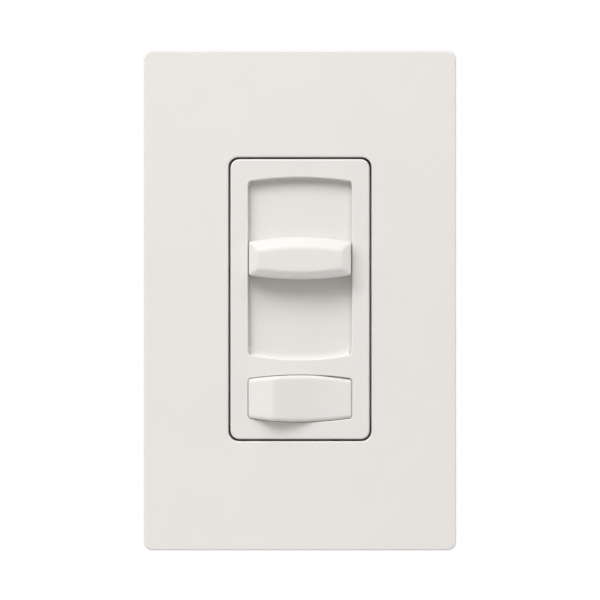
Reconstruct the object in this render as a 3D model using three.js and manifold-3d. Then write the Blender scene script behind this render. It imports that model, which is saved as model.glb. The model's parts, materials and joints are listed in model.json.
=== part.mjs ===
// A wall dimmer: a slide knob for the level and an on/off rocker in one bezel, under a screwless wall plate.
// Millimetres. +X is right, +Y goes into the wall, +Z is up. The wall surface is the plane Y = 0, and the
// origin is on it, at the middle of the wall plate. The knob and the rocker stand as they do at rest.
import * as THREE from "three";
import { mergeVertices } from "three/addons/utils/BufferGeometryUtils.js";
import Module from "manifold-3d";

const wasm = await Module();
wasm.setup();

// ---- Driving dimensions ----------------------------------------------------------------------

const GAP = 0.3; // clearance between neighbouring pieces
const THROUGH = 1; // how far a cutting solid runs past the face it opens

const PLATE = { width: 74.4, height: 119.1, front: -7.6, wall: 1.8, corner: 2, edge: 1 };
const OPENING = { width: 33.85, height: 67.5, corner: 2.4 };
const DEVICE_LIFT = 0.3; // the device and the plate's opening sit this much above the plate's middle

// Everything below is measured from the middle of the device.
const YOKE = { front: -1.6, back: 0, half: 22.25, shoulder: 37, ear: 12.5, tip: 53 };
const BOX_SCREW_Z = 41.67; // half of the 83.34 mm between the wall box's screws
const PLATE_SCREW_Z = 48.4; // half of the 96.8 mm between the adapter's screws
const SCREW_SHAFT = 1.75; // radius of a 6-32 screw

const BEZEL = { width: 33.1, height: 66.7, corner: 2.1, front: -7.9, skin: 1.3, wall: 1.5 };
const FUSED = 0.2; // how far two solids of one piece run into each other
const WINDOW = { half: 12.42, top: 29.1, bottom: -14.5, topRise: 1, bottomRise: 1.2, corner: 0.95 };
const WINDOW_DRAFT = { side: 0.25, top: 0.9, bottom: 1.8 }; // how far its walls slope in towards the floor
const FLOOR = { front: -5.4, thick: 1.2, half: 12.9, top: 31, bottom: -15.2 };
const LEG = { x: 14.2, z: 29.6, halfX: 1, halfZ: 0.8, tip: 2.6 }; // the bezel's four snap legs

const KNOB_Z = 9.75; // the knob's middle at rest
const KNOB = { half: 12.05, top: 5.05, bottom: -5.05, topRise: 1.2, bottomRise: 1, corner: 0.5 };
const KNOB_SHOULDER = -11.4; // Y where the knob's upright sides end and its bevels start
const KNOB_FACE = -12.6;
const WING = { inner: 11.5, outer: 14.6, half: 4, front: -6.3, back: -5.7 }; // the knob's two side wings

const ROCKER_Z = -23.65;
const ROCKER_HOLE = { half: 12.42, top: 5.65, bottom: -5.65, topRise: 0.9, bottomRise: 0.9, corner: 0.8 };
const ROCKER = { half: 12, top: 5.35, bottom: -5.35, topRise: 0.9, bottomRise: 0.9, corner: 0.6 };
const ROCKER_SKIN = 1.3;
const ROCKER_BACK = { middle: -3.4, side: -4.3 }; // Y of its rear edge near the pin and at its two sides
const ROCKER_AXIS_Y = -4.9; // the rocker turns about an upright pin at X = 0
const ROCKER_PIN = 1; // radius
const ROCKER_PIN_REACH = 7; // half of the length over both pins
const ROCKER_TILT = 5.5; // degrees from the middle position to either stop
const SEESAW_Y = 6.1; // the switch lever turns about an upright pin at X = 0 here
const CONTACT = { x: 7.2, strip: 7.5, strap: 7.8 }; // X of the contacts, and Y of the strips that carry them

const POT = { z: 7.75, half: 22.5, width: 9, front: 0.8, back: 7.4, wall: 0.6, board: 0.6 };
const BOARD = { front: 8.1, back: 9.7, half: 18.6, tall: 30.8 };
const HOUSING = { half: 21, tall: 33.4, front: 0.3, back: 30, wall: 1.8, corner: 2.5, bevel: 1.5 };
const HOUSING_SCREW = { x: 17, z: 24.6, radius: 1.25, seat: 2.2 }; // `seat` is how deep its head lies
const TRIAC = { x: 12, half: 5, body: 6, tall: 4.5, hole: 17 }; // X, and Z of its body and of its tab hole
const TRIAC_RIVET = { radius: 1.5, head: 2.6 };
const TERMINALS = [
  { name: "line", side: 1, z: 11, colour: 0xb98d3e },
  { name: "load", side: 1, z: -8, colour: 0xb98d3e },
  { name: "traveler", side: -1, z: 11, colour: 0x2b2b2b },
];
const POCKET = { inner: 15.5, half: 5.4, front: 11.6, back: 23.4, wall: 1.5, strip: 16.5 };
const TERMINAL_SCREW_Y = 17.4;
const CLAMP = { x: 18.4, half: 0.6 };
const WIRE_HOLE_X = 17.4;
const GROUND = { x: -14, wall: 1.6, y: 5.6, z: -42.2, half: 4, back: 10.5 }; // the yoke's bent-back tab

// ---- Looks: colour, roughness, metalness -----------------------------------------------------

const LOOKS = {
  white: [0xf1eeea, 0.42, 0],
  grey: [0xd9d6d0, 0.5, 0],
  black: [0x232324, 0.55, 0],
  aluminium: [0xb9bcbe, 0.38, 1],
  steel: [0x9da0a3, 0.35, 1],
  brass: [0xb98d3e, 0.32, 1],
  copper: [0xb06a3c, 0.4, 1],
  green: [0x2f7a45, 0.4, 0.3],
  board: [0x2c5a3c, 0.6, 0],
  ferrite: [0x3a3a3c, 0.7, 0],
  enamel: [0x9c4a24, 0.35, 0.2],
  yellow: [0xd8b33a, 0.45, 0],
  blue: [0x345f96, 0.45, 0],
  tan: [0xc2a27c, 0.55, 0],
};

// ---- Solids ----------------------------------------------------------------------------------

// The closed solid inside a three.js geometry.
function solid(geometry) {
  const bare = geometry.index ? geometry.toNonIndexed() : geometry.clone();
  bare.deleteAttribute("normal");
  bare.deleteAttribute("uv");
  const merged = mergeVertices(bare, 1e-4);
  const corners = merged.index.array;
  const kept = [];
  for (let i = 0; i < corners.length; i += 3) {
    const [a, b, c] = [corners[i], corners[i + 1], corners[i + 2]];
    if (a !== b && b !== c && c !== a) kept.push(a, b, c);
  }
  const vertProperties = merged.attributes.position.array;
  return new wasm.Manifold(new wasm.Mesh({ numProp: 3, vertProperties, triVerts: new Uint32Array(kept) }));
}

function box([x0, x1], [y0, y1], [z0, z1]) {
  const shape = new THREE.BoxGeometry(x1 - x0, y1 - y0, z1 - z0);
  return solid(shape.translate((x0 + x1) / 2, (y0 + y1) / 2, (z0 + z1) / 2));
}

// A round bar along one axis; `at` holds its two other coordinates, and `endRadius` makes it a cone.
function rod(axis, radius, [from, to], at = [0, 0], sides = 16, endRadius = radius) {
  const bar = new THREE.CylinderGeometry(endRadius, radius, to - from, sides);
  bar.translate(0, (from + to) / 2, 0);
  if (axis === "x") bar.rotateZ(-Math.PI / 2).translate(0, at[0], at[1]);
  if (axis === "y") bar.translate(at[0], 0, at[1]);
  if (axis === "z") bar.rotateX(Math.PI / 2).translate(at[0], at[1], 0);
  return solid(bar);
}

// A body turned about Y from a profile of [radius, y] points that runs from its far end to its near
// end, either from axis to axis or round a closed ring.
function turned(profile, sides = 16) {
  const outline = profile.map(([r, y]) => new THREE.Vector2(r, y)).toReversed();
  return solid(new THREE.LatheGeometry(outline, sides));
}

// An outline in X and Z, extruded along Y.
function prism(points, [y0, y1]) {
  const shape = new THREE.ExtrudeGeometry(new THREE.Shape(points), { depth: y1 - y0, bevelEnabled: false });
  return solid(shape.rotateX(Math.PI / 2).translate(0, y1, 0));
}

// An outline in X and Y, extruded along Z.
function upright(points, [z0, z1]) {
  const shape = new THREE.ExtrudeGeometry(new THREE.Shape(points), { depth: z1 - z0, bevelEnabled: false });
  return solid(shape.translate(0, 0, z0));
}

// A skin through outlines of equal point counts in X and Z, from the one nearest the viewer backwards.
function skin(rings) {
  const count = rings[0].points.length;
  const positions = rings.flatMap(({ y, points }) => points.flatMap((p) => [p.x, y, p.y]));
  const faces = [];
  for (let r = 0; r + 1 < rings.length; r++) {
    for (let i = 0; i < count; i++) {
      const [a, b] = [r * count + i, r * count + ((i + 1) % count)];
      faces.push(a, a + count, b, b, a + count, b + count);
    }
  }
  const last = (rings.length - 1) * count;
  for (const [a, b, c] of THREE.ShapeUtils.triangulateShape(rings[0].points, [])) faces.push(a, b, c);
  for (const [a, b, c] of THREE.ShapeUtils.triangulateShape(rings.at(-1).points, [])) {
    faces.push(last + a, last + c, last + b);
  }
  const body = new THREE.BufferGeometry();
  body.setAttribute("position", new THREE.Float32BufferAttribute(positions, 3)).setIndex(faces);
  return solid(body);
}

// A rectangle with round corners, counter-clockwise.
function roundRect(width, height, corner, steps = 5) {
  const points = [];
  for (let quarter = 0; quarter < 4; quarter++) {
    const x = (quarter === 0 || quarter === 3 ? 1 : -1) * (width / 2 - corner);
    const z = (quarter < 2 ? 1 : -1) * (height / 2 - corner);
    for (let i = 0; i <= steps; i++) {
      const angle = ((quarter + i / steps) * Math.PI) / 2;
      points.push(new THREE.Vector2(x + corner * Math.cos(angle), z + corner * Math.sin(angle)));
    }
  }
  return points;
}

// A rectangle whose top bulges up and whose bottom bulges down, with round corners, counter-clockwise.
function arched({ half, top, bottom, topRise, bottomRise, corner }, dx = 0, dz = 0) {
  const [arc, chords] = [3, 10];
  const flat = half - corner;
  const upper = (x) => top - topRise * (x / half) ** 2;
  const lower = (x) => bottom + bottomRise * (x / half) ** 2;
  const points = [];
  const turn = (x, z, start) => {
    for (let i = 0; i <= arc; i++) {
      const angle = ((start + i / arc) * Math.PI) / 2;
      points.push([x + corner * Math.cos(angle), z + corner * Math.sin(angle)]);
    }
  };
  turn(flat, upper(flat) - corner, 0);
  for (let i = 1; i < chords; i++) {
    const x = flat - (2 * flat * i) / chords;
    points.push([x, upper(x)]);
  }
  turn(-flat, upper(flat) - corner, 1);
  turn(-flat, lower(flat) + corner, 2);
  for (let i = 1; i < chords; i++) {
    const x = (2 * flat * i) / chords - flat;
    points.push([x, lower(x)]);
  }
  turn(flat, lower(flat) + corner, 3);
  return points.map(([x, z]) => new THREE.Vector2(x + dx, z + dz));
}

function shifted(points, dx, dz) {
  return points.map((p) => new THREE.Vector2(p.x + dx, p.y + dz));
}

function joined(...solids) {
  return solids.reduce((sum, one) => sum.add(one));
}

function without(body, ...cuts) {
  return cuts.reduce((left, cut) => left.subtract(cut), body);
}

// Both signs of a place, for pieces that stand in mirrored pairs.
const BOTH = [-1, 1];
const PAIRS = BOTH.flatMap((side) => BOTH.map((end) => [side, end]));

// Two coordinates as a range, the lower one first.
function span(a, b) {
  return a < b ? [a, b] : [b, a];
}

function about(middle, half) {
  return [middle - half, middle + half];
}

// ---- Screws ----------------------------------------------------------------------------------

// A screw along +Y whose head has its underside at Y = 0 and stands out towards -Y, with a crossed slot.
function screw({ head, height, shaft, length, countersunk = false }) {
  const edge = 0.3;
  const point = [[0, length], [shaft * 0.7, length], [shaft, length - shaft * 0.4], [shaft, 0]];
  const flat = [[head, edge - height], [head, -height], [0, -height]];
  const pan = [[head, 0], [head, -0.5 * height], [head * 0.8, -height], [0, -height]];
  const body = turned([...point, ...(countersunk ? flat : pan)]);
  const [slot, long, short] = [head * 0.13, head * 0.72, head * 0.5];
  const drive = [-height - THROUGH, -height * 0.55];
  return without(
    body,
    box(about(0, long), drive, about(0, slot)),
    box(about(0, slot), drive, about(0, short)),
  );
}

// ---- Wall plate and adapter ------------------------------------------------------------------

const CAVITY = { width: PLATE.width - 2 * PLATE.wall, height: PLATE.height - 2 * PLATE.wall, corner: 0.9 };
const RIM = { wide: 1.4, deep: 1.1 }; // the turned-in rim round the plate's opening
const CLIPS = [-36, 0, 36]; // Z of the snaps along each long side
const CATCH = { half: 4, stands: 0.5, depth: [-2.2, -1.3] }; // inside the plate's sides
const SNAP = { half: 3.5, gap: 0.25, front: -3.9, back: -2.9 }; // on the adapter's sides, in front of them

function wallPlate() {
  const { width, height, front, corner, edge } = PLATE;
  const outline = (inset) => roundRect(width - 2 * inset, height - 2 * inset, corner - inset * 0.6);
  const rings = [];
  const steps = 3;
  for (let i = 0; i <= steps; i++) {
    const angle = ((i / steps) * Math.PI) / 2;
    const y = front + edge * (1 - Math.cos(angle));
    rings.push({ y, points: outline(edge * (1 - Math.sin(angle))) });
  }
  rings.push({ y: 0, points: outline(0) });
  const inner = front + PLATE.wall;
  const opening = (grow) => {
    const points = roundRect(OPENING.width + 2 * grow, OPENING.height + 2 * grow, OPENING.corner + grow);
    return shifted(points, 0, DEVICE_LIFT);
  };
  const cavity = prism(roundRect(CAVITY.width, CAVITY.height, CAVITY.corner, 3), [inner, THROUGH]);
  const rim = prism(opening(RIM.wide), [inner - THROUGH, inner + RIM.deep]);
  const side = CAVITY.width / 2;
  const catches = BOTH.flatMap((sign) => CLIPS.map((z) =>
    box(span(sign * (side + GAP), sign * (side - CATCH.stands)), CATCH.depth, about(z, CATCH.half))));
  const shell = joined(without(skin(rings), cavity), rim, ...catches);
  return without(shell, prism(opening(0), [front - THROUGH, THROUGH]));
}

const ADAPTER = { gap: 0.6, corner: 1.2, front: -3.5, back: -1.9, openWidth: 34.8, openHeight: 68.8 };
const FENCE = { front: -5, wall: 1.4, corner: 0.8 }; // stands forward all round the adapter's edge
const COLLAR = { front: -4.2, wall: 1.3 }; // stands forward round its opening

function plateAdapter() {
  const { corner, front, back } = ADAPTER;
  const [width, height] = [CAVITY.width - 2 * ADAPTER.gap, CAVITY.height - 2 * ADAPTER.gap];
  const through = [FENCE.front - THROUGH, back + THROUGH];
  const opening = (grow, depth) => {
    const points = roundRect(ADAPTER.openWidth + 2 * grow, ADAPTER.openHeight + 2 * grow, 2.6);
    return prism(shifted(points, 0, DEVICE_LIFT), depth);
  };
  const sheet = prism(roundRect(width, height, corner, 3), [front, back]);
  const fence = without(
    prism(roundRect(width, height, corner, 3), [FENCE.front, front + FUSED]),
    prism(
      roundRect(width - 2 * FENCE.wall, height - 2 * FENCE.wall, FENCE.corner, 3),
      [FENCE.front - THROUGH, front + FUSED / 2],
    ),
  );
  const collar = opening(COLLAR.wall, [COLLAR.front, front + FUSED]);
  const snaps = BOTH.flatMap((side) => CLIPS.map((z) => {
    const ends = span(side * (width / 2 - FUSED), side * (CAVITY.width / 2 - SNAP.gap));
    return box(ends, [SNAP.front, SNAP.back], about(z, SNAP.half));
  }));
  const [boxHole, countersink] = [4.9, 3.7];
  const holes = BOTH.flatMap((end) => {
    const plateScrew = [0, DEVICE_LIFT + end * PLATE_SCREW_Z];
    return [
      rod("y", boxHole, through, [0, DEVICE_LIFT + end * BOX_SCREW_Z], 24),
      rod("y", SCREW_SHAFT + GAP, through, plateScrew),
      rod("y", countersink, [front - 0.2, front + 1.8], plateScrew, 16, SCREW_SHAFT + GAP),
    ];
  });
  return without(joined(sheet, fence, collar, ...snaps), opening(0, through), ...holes);
}

// ---- Yoke ------------------------------------------------------------------------------------

const LEVER_SLOT = { half: 1.7, bottom: -10.4, top: 25.6 }; // the slide lever's way through the yoke
const STEM_HOLE = { halfX: 5.5, halfZ: 4.2 }; // the rocker stem's

function yokeOutline() {
  const { half, shoulder, ear, tip } = YOKE;
  const slope = 3; // the corners are cut off at 45 degrees
  const waist = shoulder + slope;
  const right = [
    [ear - slope, -tip], [ear, slope - tip], [ear, -waist], [half - slope, -waist], [half, -shoulder],
    [half, shoulder], [half - slope, waist], [ear, waist], [ear, tip - slope], [ear - slope, tip],
  ];
  const left = right.toReversed().map(([x, z]) => [-x, z]);
  return [...right, ...left].map(([x, z]) => new THREE.Vector2(x, z));
}

// The space of one snap leg of the bezel, grown by `grow` for the slot that it passes through.
function legBox(side, end, depth, grow) {
  const [x, z] = [side * LEG.x, end * LEG.z];
  const [dx, dz] = [LEG.halfX + grow, LEG.halfZ + grow];
  return box([x - dx, x + dx], depth, [z - dz, z + dz]);
}

// The steel strap: its ears carry the screws, and a tab bent back at the lower left takes the ground wire.
function yoke() {
  const { front, back } = YOKE;
  const through = [front - THROUGH, back + THROUGH];
  const strap = prism(yokeOutline(), [front, back]);
  const groundTab = joined(
    box([GROUND.x - GROUND.half, GROUND.x + 5], [front, back], [GROUND.z - 3.8, GROUND.z + 3.2]),
    box([GROUND.x, GROUND.x + GROUND.wall], [front, GROUND.back], about(GROUND.z, GROUND.half)),
  );
  const boxSlot = { width: 7.4, height: 4.2, corner: 2.05 };
  const ends = BOTH.flatMap((end) => {
    const slot = roundRect(boxSlot.width, boxSlot.height, boxSlot.corner);
    return [
      prism(shifted(slot, 0, end * BOX_SCREW_Z), through),
      rod("y", SCREW_SHAFT + GAP, through, [0, end * PLATE_SCREW_Z]),
    ];
  });
  const corners = PAIRS.flatMap(([side, end]) => [
    rod("y", HOUSING_SCREW.radius + 0.35, through, [side * HOUSING_SCREW.x, end * HOUSING_SCREW.z]),
    legBox(side, end, through, GAP),
  ]);
  const lever = box(about(0, LEVER_SLOT.half), through, [LEVER_SLOT.bottom, LEVER_SLOT.top]);
  const stem = box(about(0, STEM_HOLE.halfX), through, about(ROCKER_Z, STEM_HOLE.halfZ));
  const rivet = rod("y", TRIAC_RIVET.radius + 0.4, through, [TRIAC.x, TRIAC.hole]);
  const groundHole = rod("x", SCREW_SHAFT + GAP, about(GROUND.x, 3), [GROUND.y, GROUND.z]);
  return without(joined(strap, groundTab), ...ends, ...corners, lever, stem, rivet, groundHole);
}

// ---- Bezel, recess floor and knob ------------------------------------------------------------

function bezel() {
  const { width, height, corner, front, wall } = BEZEL;
  const back = YOKE.front - GAP;
  const inside = front + BEZEL.skin;
  const fused = inside - FUSED;
  const body = prism(roundRect(width, height, corner), [front, back]);
  const hollow = prism(roundRect(width - 2 * wall, height - 2 * wall, 0.8, 3), [inside, back + THROUGH]);
  const wallSpan = about(0, WINDOW.half + 1.2);
  const endWalls = joined(
    box(wallSpan, [fused, FLOOR.front - GAP], [WINDOW.top - 2.2, WINDOW.top + 3.1]),
    box(wallSpan, [fused, FLOOR.front - GAP], [WINDOW.bottom - 2.9, WINDOW.bottom + 3.1]),
  );
  const [bossHalf, bossBack] = [2.4, -3.1]; // the bosses hold the rocker's pins above and below it
  const bosses = joined(
    box(about(0, bossHalf), [fused, bossBack], [ROCKER_Z + 5.95, ROCKER_Z + 8.15]),
    box(about(0, bossHalf), [fused, bossBack], [ROCKER_Z - 8.65, ROCKER_Z - 5.95]),
  );
  const [hookOut, hookHalf] = [0.7, 0.9]; // a leg's hook catches behind the yoke
  const legs = PAIRS.map(([side, end]) => joined(
    legBox(side, end, [fused, LEG.tip], 0),
    box(about(side * LEG.x, LEG.halfX), [0.4, 1.5], about(end * (LEG.z + hookOut), hookHalf)),
  ));
  const sloped = {
    ...WINDOW,
    half: WINDOW.half - WINDOW_DRAFT.side,
    top: WINDOW.top - WINDOW_DRAFT.top,
    bottom: WINDOW.bottom + WINDOW_DRAFT.bottom,
  };
  const window = skin([
    { y: front - THROUGH, points: arched(WINDOW) },
    { y: front, points: arched(WINDOW) },
    { y: FLOOR.front - GAP, points: arched(sloped) },
    { y: FLOOR.front, points: arched(sloped) },
  ]);
  const pinBore = [ROCKER_Z - ROCKER_PIN_REACH - GAP - 0.05, ROCKER_Z + ROCKER_PIN_REACH + 0.75];
  return without(
    joined(without(body, hollow), endWalls, bosses, ...legs),
    window,
    prism(arched(ROCKER_HOLE, 0, ROCKER_Z), [front - THROUGH, inside + FUSED]),
    rod("z", ROCKER_PIN + GAP, pinBore, [0, ROCKER_AXIS_Y]),
  );
}

function sliderFloor() {
  const { front, thick, half, top, bottom } = FLOOR;
  const panel = shifted(roundRect(2 * half, top - bottom, 1, 3), 0, (top + bottom) / 2);
  return prism(panel, [front, front + thick]);
}

function sliderKnob() {
  const bevel = { top: 2.6, bottom: 1.85, side: 2.25 };
  const face = {
    half: KNOB.half - bevel.side,
    top: KNOB.top - bevel.top,
    bottom: KNOB.bottom + bevel.bottom,
    topRise: KNOB.topRise * 0.75,
    bottomRise: KNOB.bottomRise * 0.75,
    corner: 0.3,
  };
  const block = skin([
    { y: KNOB_FACE, points: arched(face, 0, KNOB_Z) },
    { y: KNOB_SHOULDER, points: arched(KNOB, 0, KNOB_Z) },
    { y: WING.back, points: arched(KNOB, 0, KNOB_Z) },
  ]);
  const wings = BOTH.map((side) =>
    box(span(side * WING.inner, side * WING.outer), [WING.front, WING.back], about(KNOB_Z, WING.half)));
  const wall = 2;
  const hollow = {
    ...KNOB,
    half: KNOB.half - wall,
    top: KNOB.top - wall,
    bottom: KNOB.bottom + wall,
    topRise: KNOB.topRise / 2,
    bottomRise: KNOB.bottomRise / 2,
  };
  const core = prism(arched(hollow, 0, KNOB_Z), [KNOB_SHOULDER, WING.back + THROUGH]);
  return without(joined(block, ...wings), core);
}

// A bar behind the recess floor. Its arms reach round the floor's edges to the knob's wings, and the
// slot in its middle drives the slide lever.
function sliderCarriage() {
  const [front, back] = [FLOOR.front + FLOOR.thick + GAP, YOKE.front - 0.7];
  const through = [front - THROUGH, back + THROUGH];
  const bar = box(about(0, WING.outer), [front, back], about(KNOB_Z, 5));
  const arms = BOTH.map((side) => {
    const ends = span(side * (FLOOR.half + GAP), side * WING.outer);
    return box(ends, [WING.back + GAP, back], about(KNOB_Z, WING.half));
  });
  const fork = box(about(0, LEVER.thick / 2 + 0.35), through, about(KNOB_Z, LEVER.wide / 2 + 0.35));
  const lightening = BOTH.map((side) => box(about(side * 7, 3.2), through, about(KNOB_Z, 2.6)));
  return without(joined(bar, ...arms), fork, ...lightening);
}

// ---- Slide potentiometer ---------------------------------------------------------------------

const LEVER = { thick: 1.2, wide: 3, front: -3.3, back: 3.4 };
const SLIPPER = { half: 3, tall: 3.5, front: 2.2, back: 4.4 }; // the lever's foot, which carries the wiper

function potLever() {
  const blade = box(about(0, LEVER.thick / 2), [LEVER.front, LEVER.back], about(KNOB_Z, LEVER.wide / 2));
  const slipper = box(about(0, SLIPPER.half), [SLIPPER.front, SLIPPER.back], about(KNOB_Z, SLIPPER.tall));
  return joined(blade, slipper);
}

function potWiper() {
  const { front, sheet, tip, tall } = { front: SLIPPER.back + GAP, sheet: 0.25, tip: 6.1, tall: 3 };
  const pad = box(about(0, 2.4), [front, front + sheet], about(KNOB_Z, tall));
  const fingers = [-1.6, 0, 1.6].map((x) =>
    box(about(x, 0.4), [front, tip], [KNOB_Z - tall, KNOB_Z - tall + 0.4]));
  return joined(pad, ...fingers);
}

function potCan() {
  const { z, half, width, front, back, wall, board } = POT;
  const can = box(about(0, width / 2), [front, back - board - GAP], about(z, half));
  const inside = box(about(0, width / 2 - wall), [front + wall, back], about(z, half - wall));
  const slot = box(about(0, 1.1), about(front, THROUGH), [LEVER_SLOT.bottom, LEVER_SLOT.top]);
  return without(can, inside, slot);
}

function potBoard() {
  const { z, half, width, back, board } = POT;
  return box(about(0, width / 2), [back - board, back], about(z, half));
}

// ---- Rocker and switch -----------------------------------------------------------------------

// The rocker's face seen from above, left to right: a short steep rise, a rounded ridge, and a long
// fall that flattens out to the right. `set` pushes it back, for the inner face of the shell.
function rockerSection(set, half) {
  const face = BEZEL.front + set;
  const past = set ? THROUGH : 0;
  const outline = new THREE.Shape();
  outline.moveTo(-half, ROCKER_BACK.side + past);
  outline.lineTo(-half, face - 0.1);
  outline.quadraticCurveTo(-half, face - 0.45, -half + 0.7, face - 0.85);
  outline.lineTo(-6.9, face - 3.2);
  outline.quadraticCurveTo(-6.4, face - 3.48, -5.8, face - 3.36);
  outline.lineTo(0, face - 1.74);
  outline.quadraticCurveTo(half / 2, face + 0.3, half, face + 0.2);
  outline.lineTo(half, ROCKER_BACK.side + past);
  outline.lineTo(4, ROCKER_BACK.middle + past);
  outline.lineTo(-4, ROCKER_BACK.middle + past);
  return outline.getPoints(6);
}

// Along Y from the rocker's pin, before the rocker is leaned over: its hollow stem, and the plunger in it.
const STEM = { radius: 2.7, bore: 1.8, from: -3.4, to: 7, seat: 1.2 };
const PLUNGER = { tip: 9.55, radius: 1.2, collar: 1.45, collarFrom: 4.6, collarTo: 6.4 };

// Turns a solid made along +Y at the rocker's pin to where it leans at rest.
function leaned(body) {
  return body.rotate([0, 0, ROCKER_TILT]).translate([0, ROCKER_AXIS_Y, ROCKER_Z]);
}

function rocker() {
  const tall = [ROCKER_Z + ROCKER.bottom - THROUGH, ROCKER_Z + ROCKER.top + THROUGH];
  const depth = [BEZEL.front - 5, 0];
  const outer = upright(rockerSection(0, ROCKER.half), tall).intersect(
    prism(arched(ROCKER, 0, ROCKER_Z), depth));
  const wall = 1.2;
  const { half, top, bottom } = ROCKER;
  const inset = { ...ROCKER, half: half - wall, top: top - wall, bottom: bottom + wall };
  const inner = upright(rockerSection(ROCKER_SKIN, half), tall).intersect(
    prism(arched(inset, 0, ROCKER_Z), depth));
  const pins = BOTH.map((end) => {
    const ends = span(ROCKER_Z + end * 4.4, ROCKER_Z + end * ROCKER_PIN_REACH);
    return rod("z", ROCKER_PIN, ends, [0, ROCKER_AXIS_Y]);
  });
  const stem = leaned(rod("y", STEM.radius, [STEM.from, STEM.to], [0, 0], 24));
  const bore = leaned(rod("y", STEM.bore, [STEM.seat, STEM.to + THROUGH], [0, 0], 24));
  const web = box(about(0, 9), [ROCKER_AXIS_Y - 3.4, ROCKER_BACK.side], about(ROCKER_Z, 0.5));
  return without(joined(without(outer, inner), ...pins, stem, web.intersect(outer)), bore);
}

function plunger() {
  const { tip, radius, collar, collarFrom, collarTo } = PLUNGER;
  const nose = [[0, tip], [0.55, tip - 0.12], [1.05, tip - 0.5], [radius, tip - 1.1]];
  const shoulder = [[radius, collarTo + 0.2], [collar, collarTo], [collar, collarFrom], [0, collarFrom]];
  return leaned(turned([...nose, ...shoulder]));
}

// A closed helix inside the rocker's stem, between its seat and the plunger.
function plungerSpring() {
  const [turns, radius, wire, steps, sides] = [4, 1.15, 0.2, 10, 6];
  const [from, to] = [STEM.seat + 0.35, PLUNGER.collarFrom - 0.35];
  class Helix extends THREE.Curve {
    getPoint(t) {
      const angle = 2 * Math.PI * turns * t;
      return new THREE.Vector3(radius * Math.cos(angle), from + (to - from) * t, radius * Math.sin(angle));
    }
  }
  const section = new THREE.Shape();
  for (let i = 0; i < sides; i++) {
    const angle = (2 * Math.PI * i) / sides;
    section[i ? "lineTo" : "moveTo"](wire * Math.cos(angle), wire * Math.sin(angle));
  }
  const path = { steps: turns * steps, extrudePath: new Helix(), bevelEnabled: false };
  return leaned(solid(new THREE.ExtrudeGeometry(section, path)));
}

// The seesaw leans the other way from the rocker, so the plunger holds its left end back at rest.
function seesawed(body) {
  return body.rotate([0, 0, -ROCKER_TILT]).translate([0, SEESAW_Y, ROCKER_Z]);
}

const SEESAW = { half: 9, tall: 2.6, front: -1.25, back: -0.45, pin: 0.5, barrel: 1.2 }; // Y from its pin
const SADDLE = { half: 3.2, ear: 1.8, from: 4.2, to: 5.2, front: 4.4 }; // its ears stand above and below

function seesaw() {
  const { half, tall, front, back, pin, barrel } = SEESAW;
  const blade = box(about(0, half), [front, back], about(0, tall));
  const hub = box(about(0, 1.5), [back - 0.1, 0], about(0, tall));
  const bearing = rod("z", barrel, about(0, tall));
  const pinHole = rod("z", pin + GAP, about(0, tall + THROUGH));
  const flat = box(about(0, 3), [0.9, 3], about(0, tall + THROUGH)); // cut off its rear side
  return seesawed(without(joined(blade, hub, bearing), pinHole, flat));
}

function seesawPin() {
  return seesawed(rod("z", SEESAW.pin, about(0, 5.6), [0, 0], 12));
}

function movingContact(side) {
  return seesawed(rod("y", 1.5, [SEESAW.back + 0.1, SEESAW.back + 0.65], [side * CONTACT.x, 0]));
}

function fixedContact(side) {
  const strip = box(about(side * 9, 3.6), [CONTACT.strip, CONTACT.strap], about(ROCKER_Z, 2.5));
  const button = rod("y", 1.6, [CONTACT.strip - 0.22, CONTACT.strip + 0.1], [side * CONTACT.x, ROCKER_Z]);
  return joined(strip, button);
}

// The seesaw's pin turns in the saddle's two ears.
function contactSaddle() {
  const { half, ear, from, to, front } = SADDLE;
  const base = box(about(0, half), [CONTACT.strip - 0.1, CONTACT.strap], about(ROCKER_Z, to));
  const ears = BOTH.map((end) =>
    box(about(0, ear), [front, CONTACT.strip], span(ROCKER_Z + end * from, ROCKER_Z + end * to)));
  const hole = rod("z", SEESAW.pin + GAP, about(ROCKER_Z, to + THROUGH), [0, SEESAW_Y]);
  return without(joined(base, ...ears), hole);
}

// ---- Circuit ---------------------------------------------------------------------------------

function circuitBoard() {
  const { front, back, half, tall } = BOARD;
  const through = [front - THROUGH, back + THROUGH];
  const notches = PAIRS.map(([side, end]) =>
    rod("y", 2.6, through, [side * HOUSING_SCREW.x, end * HOUSING_SCREW.z]));
  return without(box(about(0, half), [front, back], about(0, tall)), ...notches);
}

// Its tab lies against the yoke, which takes its heat, and its three legs bend back to the board.
function triac() {
  const { x, half, body, tall, hole } = TRIAC;
  const front = YOKE.back + GAP;
  const tab = box(about(x, half), [front, front + 1.3], [body, hole + 3]);
  const block = box(about(x, half), [front, front + 4.5], about(body, tall));
  const [pitch, thick] = [2.54, 0.6];
  const [legFront, legEnd] = [2.4, body - 2 * tall];
  const legs = [-pitch, 0, pitch].map((dx) => joined(
    box(about(x + dx, 0.4), [legFront, legFront + thick], [legEnd, body - 4]),
    box(about(x + dx, 0.4), [legFront, BOARD.front - GAP], [legEnd, legEnd + thick]),
  ));
  const rivetHole = rod("y", TRIAC_RIVET.radius + 0.6, about(front, 2), [x, hole]);
  return without(joined(tab, block, ...legs), rivetHole);
}

function triacRivet() {
  const at = [TRIAC.x, TRIAC.hole];
  const [headFront, headBack] = [1.9, 2.7];
  return joined(
    rod("y", TRIAC_RIVET.radius, [YOKE.front - 0.6, headBack - GAP], at),
    rod("y", TRIAC_RIVET.head, [headFront, headBack], at),
  );
}

const BOARD_FOOT = BOARD.back + GAP; // Y where the parts on the board's rear face start
const WIRE = 0.35; // radius of a part's wire legs

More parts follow.
